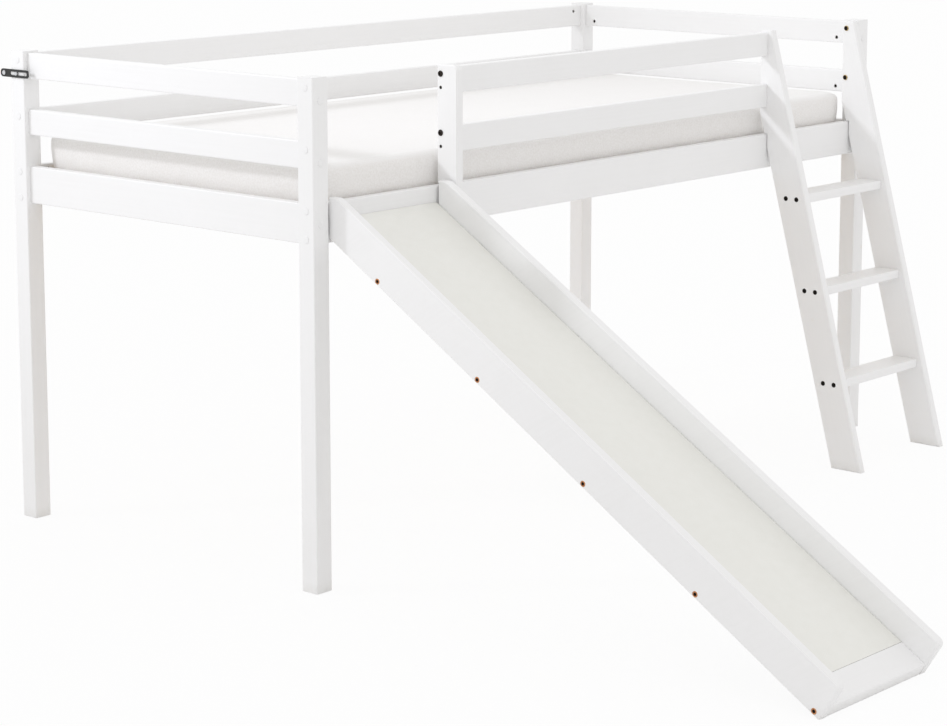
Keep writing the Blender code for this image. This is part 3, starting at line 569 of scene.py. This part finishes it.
def pressed_melamine(name):
    """Melamine paper pressed on hardboard: hard, smooth and glossy, greenish cream beside the lacquer."""
    material, tree = start_material(name)
    place = add_node(tree, "ShaderNodeTexCoord").outputs["Object"]
    turned = add_node(tree, "ShaderNodeMapping", {"Vector": place, "Rotation": slope_grain})
    # The press plate leaves a soft wave of about 25 mm.
    wave = add_node(
        tree, "ShaderNodeTexNoise", {"Vector": turned.outputs[0], "Scale": 1 / 0.025, "Detail": 1}
    )
    # Scratches are 0.1 mm wide; they are drawn 1.2 mm wide so that they show, and run on for 200 mm.
    hair = add_node(tree, "ShaderNodeMapping", {"Vector": turned.outputs[0], "Scale": (1, 1, 1 / 160)})
    scratches = add_node(
        tree, "ShaderNodeTexNoise", {"Vector": hair.outputs[0], "Scale": 1 / 0.0012, "Detail": 2}
    )
    cut = add_node(
        tree, "ShaderNodeMapRange", {"Value": scratches.outputs["Fac"], "From Min": 0.62, "From Max": 0.72}
    )
    # Most scratches lie within 30 mm of the middle, and few further than 140 mm from it.
    across = add_node(tree, "ShaderNodeSeparateXYZ", {"Vector": place})
    middle = (panel_low.x + panel_high.x) / 2
    from_middle = add_node(tree, "ShaderNodeMath", {0: across.outputs["X"], 1: middle}, operation="SUBTRACT")
    distance = add_node(tree, "ShaderNodeMath", {0: from_middle.outputs[0]}, operation="ABSOLUTE")
    track = add_node(
        tree,
        "ShaderNodeMapRange",
        {"Value": distance.outputs[0], "From Min": 0.03, "From Max": 0.14, "To Min": 1, "To Max": 0.25},
    )
    worn = add_node(tree, "ShaderNodeMath", {0: cut.outputs[0], 1: track.outputs[0]}, operation="MULTIPLY")
    cream = add_node(
        tree,
        "ShaderNodeMix",
        {"Factor": wave.outputs["Fac"], 6: linear("#F1F1EC"), 7: linear("#EDEDE7")},
        data_type="RGBA",
    )
    scratched = add_node(
        tree,
        "ShaderNodeMix",
        {"Factor": worn.outputs[0], 6: cream.outputs[2], 7: linear("#E4E4DC")},
        data_type="RGBA",
    )
    gloss = add_node(tree, "ShaderNodeMapRange", {"Value": worn.outputs[0], "To Min": 0.2, "To Max": 0.42})
    bump = add_node(
        tree, "ShaderNodeBump", {"Height": wave.outputs["Fac"], "Strength": 0.5, "Distance": 0.0001}
    )
    fine = add_node(
        tree,
        "ShaderNodeBump",
        {"Height": worn.outputs[0], "Strength": 0.3, "Distance": 0.00002, "Normal": bump.outputs[0]},
    )
    shader = add_node(
        tree,
        "ShaderNodeBsdfPrincipled",
        {
            "Base Color": scratched.outputs[2],
            "Roughness": gloss.outputs[0],
            "IOR": 1.55,
            "Normal": fine.outputs[0],
        },
    )
    add_node(tree, "ShaderNodeOutputMaterial", {"Surface": shader.outputs[0]})
    return material


finish(pressed_melamine("gloss cream melamine"), "slide_panel")

# Slide brackets: small angles of 2 mm pressed steel, screwed to the side board and the slide walls' tops.
# They are plated with bright zinc: the eye sees a cold grey with fine spangles.
zinc = plated_steel("bright zinc plated steel", ("#B9BABC", "#9C9DA0"), 0.36)
finish(zinc, "slide_left_bracket", "slide_right_bracket")

# Slatted base: two 25 mm battens screwed inside the side boards carry twelve 68 x 15 mm slats of planed pine.
# The wood is bare and dull as the planer left it: pale straw, with honey-brown late wood and a few knots.

# At a scale of 1, a wave pattern repeats after this length in metres.
wave_repeat = math.tau / 20


def bare_pine(name, grain_turn, board_shift):
    """Planed, unfinished Scots pine, its grain along Z once grain_turn has turned it."""
    material, tree = start_material(name)
    place = add_node(tree, "ShaderNodeTexCoord").outputs["Object"]
    turned = add_node(
        tree, "ShaderNodeMapping", {"Vector": place, "Rotation": grain_turn, "Location": board_shift}
    )
    # Growth rings are 4 mm apart; they are drawn 7 mm apart so that they show, and wander along the grain.
    stretched = add_node(tree, "ShaderNodeMapping", {"Vector": turned.outputs[0], "Scale": (1, 1, 1 / 25)})
    wander = add_node(
        tree, "ShaderNodeTexNoise", {"Vector": stretched.outputs[0], "Scale": 1 / 0.03, "Detail": 2}
    )
    bent = add_node(
        tree,
        "ShaderNodeVectorMath",
        {0: wander.outputs["Color"], "Scale": 0.02},
        operation="SCALE",
    )
    moved = add_node(
        tree, "ShaderNodeVectorMath", {0: stretched.outputs[0], 1: bent.outputs[0]}, operation="ADD"
    )
    rings = add_node(
        tree,
        "ShaderNodeTexWave",
        {
            "Vector": moved.outputs[0],
            "Scale": wave_repeat / 0.007,
            "Distortion": 1.5,
            "Detail": 2,
            "Detail Scale": 2,
        },
        wave_type="RINGS",
        rings_direction="Z",
        wave_profile="SAW",
    )
    # Wood fibres 0.5 mm wide, drawn 1 mm wide so that they show.
    fibre_place = add_node(tree, "ShaderNodeMapping", {"Vector": turned.outputs[0], "Scale": (1, 1, 1 / 40)})
    fibres = add_node(
        tree, "ShaderNodeTexNoise", {"Vector": fibre_place.outputs[0], "Scale": 1 / 0.001, "Detail": 2}
    )
    wood = add_node(
        tree,
        "ShaderNodeMix",
        {"Factor": rings.outputs["Fac"], 6: linear("#EBD5AE"), 7: linear("#D3AC77")},
        data_type="RGBA",
    )
    fibred = add_node(
        tree,
        "ShaderNodeMix",
        {"Factor": 0.25, 6: wood.outputs[2], 7: fibres.outputs["Color"]},
        data_type="RGBA",
        blend_type="OVERLAY",
    )
    # Knots 20 mm across lie about 170 mm apart.
    knots = add_node(tree, "ShaderNodeTexVoronoi", {"Vector": turned.outputs[0], "Scale": 6.0})
    knot_mask = add_node(
        tree,
        "ShaderNodeMapRange",
        {"Value": knots.outputs["Distance"], "From Min": 0.03, "From Max": 0.06, "To Min": 0.8, "To Max": 0},
    )
    knotted = add_node(
        tree,
        "ShaderNodeMix",
        {"Factor": knot_mask.outputs[0], 6: fibred.outputs[2], 7: linear("#8A5A32")},
        data_type="RGBA",
    )
    bump = add_node(
        tree, "ShaderNodeBump", {"Height": fibres.outputs["Fac"], "Strength": 0.6, "Distance": 0.00008}
    )
    shader = add_node(
        tree,
        "ShaderNodeBsdfPrincipled",
        {"Base Color": knotted.outputs[2], "Roughness": 0.68, "IOR": 1.5, "Normal": bump.outputs[0]},
    )
    add_node(tree, "ShaderNodeOutputMaterial", {"Surface": shader.outputs[0]})
    return material


batten_pine = bare_pine("planed bare pine, battens", long_grain, (0.3, 0.8, 0.1))
finish(batten_pine, "front_slat_support", "back_slat_support")
for number in range(1, 13):
    shift = (0.31 * number, 0.47 * number, 0.13 * number)
    name = "slat_" + str(number).zfill(2)
    finish(bare_pine("planed bare pine, slat " + str(number), cross_grain, shift), name)

# Slat tapes: two 18 mm woven polypropylene tapes stapled over the slats, which keep them at their spacing.
# The eye sees flat white bands with a fine, slightly shiny weave.


def woven_cloth(name, colour, thread, roughness, fuzz):
    """A plain weave, its threads that far apart in metres, with the soft sheen of its fibres."""
    material, tree = start_material(name)
    place = add_node(tree, "ShaderNodeTexCoord").outputs["Object"]
    threads = []
    for turn in (0, math.pi / 2):
        turned = add_node(tree, "ShaderNodeMapping", {"Vector": place, "Rotation": (0, 0, turn)})
        waves = add_node(
            tree,
            "ShaderNodeTexWave",
            {"Vector": turned.outputs[0], "Scale": wave_repeat / thread, "Distortion": 0.4, "Detail": 1},
        )
        threads.append(waves.outputs["Fac"])
    weave = add_node(tree, "ShaderNodeMath", {0: threads[0], 1: threads[1]}, operation="MULTIPLY")
    tone = add_node(
        tree,
        "ShaderNodeMix",
        {"Factor": weave.outputs[0], 6: linear(colour[0]), 7: linear(colour[1])},
        data_type="RGBA",
    )
    bump = add_node(
        tree, "ShaderNodeBump", {"Height": weave.outputs[0], "Strength": 0.6, "Distance": thread / 4}
    )
    shader = add_node(
        tree,
        "ShaderNodeBsdfPrincipled",
        {
            "Base Color": tone.outputs[2],
            "Roughness": roughness,
            "Sheen Weight": fuzz,
            "Sheen Roughness": 0.5,
            "Normal": bump.outputs[0],
        },
    )
    add_node(tree, "ShaderNodeOutputMaterial", {"Surface": shader.outputs[0]})
    return material


# The threads are 0.6 mm; they are drawn 1.2 mm wide so that they show.
finish(
    woven_cloth("white woven polypropylene", ("#DEDCD6", "#F0EEEA"), 0.0012, 0.8, 0.1),
    "front_slat_tape",
    "back_slat_tape",
)

# Mattress: a foam block 97 mm thick in a zipped cover of white knitted polyester, laid loose on the slats.
# Its edges are soft and round, its top swells a little, and the cover lies in shallow folds near the ends.
# The foam is shaped here, a short cloth simulation fills the cover out, and its loops are in the material.
mattress_low, mattress_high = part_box("mattress")
mattress_middle = (mattress_low + mattress_high) / 2
cover_play = 0.002
under_play = 0.0004
crown_room = 0.005
corner_radius = 0.034
least_corner_radius = 0.02
edge_radius = 0.01
arc_steps = 8
cover_net = 0.0135
swell_frames = 10
most_swell = 0.003


def foam_block():
    """A closed block with round corners and edges, a little smaller than the CAD mattress."""
    half_x = (mattress_high.x - mattress_low.x) / 2 - cover_play
    half_y = (mattress_high.y - mattress_low.y) / 2 - cover_play
    low_z = mattress_low.z + under_play
    high_z = mattress_high.z - crown_room
    levels = []
    for step in range(arc_steps + 1):
        angle = math.pi / 2 * step / arc_steps
        levels.append((edge_radius * (1 - math.sin(angle)), low_z + edge_radius * (1 - math.cos(angle))))
    for step in range(arc_steps, -1, -1):
        angle = math.pi / 2 * step / arc_steps
        levels.append((edge_radius * (1 - math.sin(angle)), high_z - edge_radius * (1 - math.cos(angle))))
    shape = bmesh.new()
    rings = []
    for inset, z in levels:
        radius = max(corner_radius - inset, least_corner_radius)
        ring = []
        for quarter, (side_x, side_y) in enumerate(((1, 1), (-1, 1), (-1, -1), (1, -1))):
            for step in range(arc_steps + 1):
                angle = math.pi / 2 * (quarter + step / arc_steps)
                x = mattress_middle.x + side_x * (half_x - inset - radius) + radius * math.cos(angle)
                y = mattress_middle.y + side_y * (half_y - inset - radius) + radius * math.sin(angle)
                ring.append(shape.verts.new((x, y, z)))
        rings.append(ring)
    shape.faces.new(rings[0][::-1])
    shape.faces.new(rings[-1])
    for lower, upper in zip(rings, rings[1:]):
        for step in range(len(lower)):
            after = (step + 1) % len(lower)
            shape.faces.new((lower[step], lower[after], upper[after], upper[step]))
    mesh = bpy.data.meshes.new("mattress_cover")
    shape.to_mesh(mesh)
    shape.free()
    piece = bpy.data.objects.new("mattress_cover", mesh)
    bpy.context.scene.collection.objects.link(piece)
    return piece


def apply_modifiers(piece):
    """Bakes a piece's modifiers into its mesh."""
    graph = bpy.context.evaluated_depsgraph_get()
    done = bpy.data.meshes.new_from_object(piece.evaluated_get(graph))
    piece.modifiers.clear()
    old = piece.data
    piece.data = done
    bpy.data.meshes.remove(old)


mattress_cover = foam_block()
remesh = mattress_cover.modifiers.new("even net of the cover", "REMESH")
remesh.mode = "VOXEL"
remesh.voxel_size = cover_net
apply_modifiers(mattress_cover)

# The foam presses the cover out from inside, without gravity, and nowhere by more than most_swell.
at_rest = [vert.co.copy() for vert in mattress_cover.data.vertices]
cloth = mattress_cover.modifiers.new("knitted cover", "CLOTH")
cloth.settings.quality = 4
cloth.settings.mass = 0.25
cloth.settings.tension_stiffness = 12
cloth.settings.compression_stiffness = 12
cloth.settings.shear_stiffness = 6
cloth.settings.bending_stiffness = 0.4
cloth.settings.use_pressure = True
cloth.settings.uniform_pressure_force = 3
cloth.settings.effector_weights.gravity = 0
cloth.collision_settings.use_collision = False
for number in range(1, swell_frames + 1):
    bpy.context.scene.frame_set(number)
apply_modifiers(mattress_cover)
bpy.context.scene.frame_set(1)
for vert, before in zip(mattress_cover.data.vertices, at_rest):
    move = vert.co - before
    if move.length > most_swell:
        vert.co = before + move.normalized() * most_swell

# The cover's folds: shallow waves about 100 mm long, deepest near the ends, where the knit is slack.
# Between them run thin creases, and below, the zipped corners pull in a little.
end_slack_reach = 0.12
side_slack_reach = 0.05
side_slack = 0.15
even_slack = 0.1
fold_depth = 0.0011
crease_depth = 0.0016
crease_width = 0.18
corner_draw = 0.009
corner_reach = 0.06
corner_height = 0.055
side_margin = 0.002
under_margin = 0.0002
top_margin = 0.003
for vert in mattress_cover.data.vertices:
    point = vert.co
    from_end = min(point.x - mattress_low.x, mattress_high.x - point.x)
    from_side = min(point.y - mattress_low.y, mattress_high.y - point.y)
    slack = math.exp(-from_end / end_slack_reach)
    slack = slack + side_slack * math.exp(-from_side / side_slack_reach) + even_slack
    wave = noise.noise(Vector((point.x * 9, point.y * 11, point.z * 26)))
    crease = abs(noise.noise(Vector((point.x * 21 + 4, point.y * 17, point.z * 34))))
    rise = fold_depth * slack * wave - crease_depth * slack * max(0, crease_width - crease) / crease_width
    direction = vert.normal.copy()
    vert.co = point + direction * rise
    corner = max(0, 1 - from_end / corner_reach) * max(0, 1 - from_side / corner_reach)
    low_part = max(0, 1 - (point.z - mattress_low.z) / corner_height)
    vert.co.x += corner_draw * corner * low_part * (1 if point.x < mattress_middle.x else -1)
    vert.co.y += corner_draw * corner * low_part * (1 if point.y < mattress_middle.y else -1)
    vert.co.x = min(max(vert.co.x, mattress_low.x - side_margin), mattress_high.x + side_margin)
    vert.co.y = min(max(vert.co.y, mattress_low.y - side_margin), mattress_high.y + side_margin)
    vert.co.z = min(max(vert.co.z, mattress_low.z + under_margin), mattress_high.z + top_margin)
smooth = mattress_cover.modifiers.new("knit drape", "SMOOTH")
smooth.factor = 0.5
smooth.iterations = 1
subdivide = mattress_cover.modifiers.new("fine knit", "SUBSURF")
subdivide.levels = 1
subdivide.render_levels = 1
apply_modifiers(mattress_cover)
mattress_cover.data.shade_smooth()


def knitted_cover(name):
    """Knitted polyester jersey: white and matt, with a soft sheen, small loops and a denser border, its sides
    greyed by painted shade.
    """
    material, tree = start_material(name)
    place = add_node(tree, "ShaderNodeTexCoord").outputs["Object"]
    # Loops are 1.2 mm; they are drawn 3 mm wide so that they show.
    loops = add_node(
        tree,
        "ShaderNodeTexVoronoi",
        {"Vector": place, "Scale": 1 / 0.003, "Randomness": 0.35},
    )
    # The knit ripples softly, about every 38 mm, and its white clouds over about 90 mm.
    ripples = add_node(
        tree,
        "ShaderNodeTexWave",
        {"Vector": place, "Scale": wave_repeat / 0.0377, "Distortion": 2, "Detail": 2, "Detail Scale": 3},
    )
    cloud = add_node(tree, "ShaderNodeTexNoise", {"Vector": place, "Scale": 1 / 0.09, "Detail": 3})
    tone = add_node(
        tree,
        "ShaderNodeMix",
        {"Factor": cloud.outputs["Fac"], 6: linear("#FBFBFB"), 7: linear("#F7F7F6")},
        data_type="RGBA",
    )
    knit = add_node(
        tree,
        "ShaderNodeMix",
        {"Factor": loops.outputs["Distance"], 6: tone.outputs[2], 7: linear("#EFEDEA")},
        data_type="RGBA",
    )
    # The border round the sides is a denser knit, flecked about every 4 mm, and greyer: partly the knit,
    # partly painted shade on the sides.
    surface = add_node(tree, "ShaderNodeNewGeometry")
    facing = add_node(tree, "ShaderNodeSeparateXYZ", {"Vector": surface.outputs["Normal"]})
    # Painted shade, in part: faces that turn away from the top take the greyer border tone.
    side_border_and_shade = add_node(
        tree,
        "ShaderNodeMapRange",
        {"Value": facing.outputs["Z"], "From Min": 0.45, "From Max": 0.7, "To Min": 1, "To Max": 0},
    )
    flecks = add_node(tree, "ShaderNodeTexNoise", {"Vector": place, "Scale": 1 / 0.004, "Detail": 2})
    border_flecks_and_side_shade = add_node(
        tree,
        "ShaderNodeMix",
        {"Factor": flecks.outputs["Fac"], 6: linear("#FBFAF9"), 7: linear("#E7E4E0")},
        data_type="RGBA",
    )
    cover = add_node(
        tree,
        "ShaderNodeMix",
        {"Factor": side_border_and_shade.outputs[0], 6: knit.outputs[2], 7: border_flecks_and_side_shade.outputs[2]},
        data_type="RGBA",
    )
    bump = add_node(
        tree, "ShaderNodeBump", {"Height": loops.outputs["Distance"], "Strength": 0.35, "Distance": 0.0004}
    )
    soft = add_node(
        tree,
        "ShaderNodeBump",
        {"Height": ripples.outputs["Fac"], "Strength": 0.2, "Distance": 0.0004, "Normal": bump.outputs[0]},
    )
    shader = add_node(
        tree,
        "ShaderNodeBsdfPrincipled",
        {
            "Base Color": cover.outputs[2],
            "Roughness": 0.88,
            "Sheen Weight": 0.25,
            "Sheen Roughness": 0.6,
            "Normal": soft.outputs[0],
        },
    )
    add_node(tree, "ShaderNodeOutputMaterial", {"Surface": shader.outputs[0]})
    return material


mattress_cover.data.materials.clear()
mattress_cover.data.materials.append(knitted_cover("knitted polyester cover"))
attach(mattress_cover, "loose_mattress")
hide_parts("mattress")

# Wall strap: a slotted bar of 2.5 mm steel, powder coated a satin black, which holds the bed to a wall.
# A pale zinc plated rivet marks its free end, and a screw of the same finish holds it to the back left post.


def powder_coat(name, colour, roughness):
    """Baked powder coat on steel: an even film with a fine orange peel."""
    material, tree = start_material(name)
    place = add_node(tree, "ShaderNodeTexCoord").outputs["Object"]
    # The peel is about 0.8 mm.
    peel = add_node(tree, "ShaderNodeTexNoise", {"Vector": place, "Scale": 1 / 0.0008, "Detail": 1})
    tone = add_node(
        tree,
        "ShaderNodeMix",
        {"Factor": peel.outputs["Fac"], 6: linear(colour[0]), 7: linear(colour[1])},
        data_type="RGBA",
    )
    bump = add_node(
        tree, "ShaderNodeBump", {"Height": peel.outputs["Fac"], "Strength": 0.6, "Distance": 0.00004}
    )
    shader = add_node(
        tree,
        "ShaderNodeBsdfPrincipled",
        {"Base Color": tone.outputs[2], "Roughness": roughness, "IOR": 1.5, "Normal": bump.outputs[0]},
    )
    add_node(tree, "ShaderNodeOutputMaterial", {"Surface": shader.outputs[0]})
    return material


finish(powder_coat("black powder coat", ("#181818", "#222221"), 0.38), "wall_strap")
new_zinc = plated_steel("new zinc plated steel", ("#DCDDDF", "#CBCCCF"), 0.4)
finish(new_zinc, "wall_strap_rivet", "wall_strap_screw")

# Floor: a seamless pale studio floor of matt white board, just under the feet of the bed.
# The camera sees it nearly white, with the bed's soft shadow on it.
floor_half = 60
floor_z = -0.0005
floor_white_share = 0.92
floor_corners = [(x * floor_half, y * floor_half) for x, y in ((-1, -1), (1, -1), (1, 1), (-1, 1))]
floor_mesh = bpy.data.meshes.new("studio_floor")
floor_mesh.from_pydata([(x, y, floor_z) for x, y in floor_corners], [], [(0, 1, 2, 3)])
studio_floor = bpy.data.objects.new("studio_floor", floor_mesh)
bpy.context.scene.collection.objects.link(studio_floor)


def where_seen(tree):
    """1 where camera, reflection or clear material sees the surroundings, 0 where they give light."""
    rays = add_node(tree, "ShaderNodeLightPath")
    seen_in_gloss = add_node(
        tree,
        "ShaderNodeMath",
        {0: rays.outputs["Is Camera Ray"], 1: rays.outputs["Is Glossy Ray"]},
        operation="MAXIMUM",
    )
    seen = add_node(
        tree,
        "ShaderNodeMath",
        {0: seen_in_gloss.outputs[0], 1: rays.outputs["Is Transmission Ray"]},
        operation="MAXIMUM",
    )
    return seen.outputs[0]


floor_material, floor_tree = start_material("matt white studio floor")
lit_share = add_node(
    floor_tree, "ShaderNodeMath", {0: where_seen(floor_tree), 1: floor_white_share}, operation="MULTIPLY"
)
matt = add_node(floor_tree, "ShaderNodeBsdfDiffuse", {"Color": linear("#F8F8F8")})
glow = add_node(floor_tree, "ShaderNodeEmission", {"Color": (1, 1, 1, 1), "Strength": 1.0})
floor_mix = add_node(
    floor_tree, "ShaderNodeMixShader", {0: lit_share.outputs[0], 1: matt.outputs[0], 2: glow.outputs[0]}
)
add_node(floor_tree, "ShaderNodeOutputMaterial", {"Surface": floor_mix.outputs[0]})
floor_mesh.materials.append(floor_material)

# Light: an even white studio, and a small daylight softbox high on the left behind the bed.
# Its honeycomb grid narrows the beam to the frame, the mattress and the top of the slide.
world = bpy.data.worlds.new("white studio")
world.use_nodes = True
world_tree = world.node_tree
world_tree.nodes.clear()
studio_light = add_node(world_tree, "ShaderNodeBackground", {"Color": linear("#FFFEFE"), "Strength": 0.91})
white_wall = add_node(world_tree, "ShaderNodeBackground", {"Color": (1, 1, 1, 1), "Strength": 1.0})
world_mix = add_node(
    world_tree,
    "ShaderNodeMixShader",
    {0: where_seen(world_tree), 1: studio_light.outputs[0], 2: white_wall.outputs[0]},
)
add_node(world_tree, "ShaderNodeOutputWorld", {"Surface": world_mix.outputs[0]})
bpy.context.scene.world = world

softbox_place = Vector((-4.2, 4.0, 4.3))
softbox_aim = Vector((0.8, 0.3, 1.0))
softbox_light = bpy.data.lights.new("left_softbox", "AREA")
softbox_light.size = 0.8
softbox_light.spread = math.radians(28)
softbox_light.energy = 3.9
softbox_light.color = linear("#F4F7FF")[:3]
softbox = bpy.data.objects.new("left_softbox", softbox_light)
softbox.location = softbox_place
softbox.rotation_euler = (softbox_place - softbox_aim).to_track_quat("Z", "Y").to_euler()
softbox.visible_camera = False
bpy.context.scene.collection.objects.link(softbox)

# Camera: the photograph's viewpoint, before the front left post and half a metre above the top rails.
# It looks down by 9.4 degrees, and its small shift lets the posts stand nearly upright in the picture.
camera_fall = 0.16446
camera_turn = -0.84941
camera_data = bpy.data.cameras.new("photo_camera")
camera_data.lens = 99.8
camera_data.sensor_width = 36
camera_data.shift_y = -0.12
camera_data.clip_start = 0.1
camera_data.clip_end = 200
camera = bpy.data.objects.new("photo_camera", camera_data)
camera.location = (-3.8235, -3.8049, 1.6283)
camera.rotation_euler = Euler((math.pi / 2 - camera_fall, 0, camera_turn), "XYZ")
bpy.context.scene.collection.objects.link(camera)
bpy.context.scene.camera = camera
bpy.context.scene.view_settings.view_transform = "Standard"

bpy.context.view_layer.update()
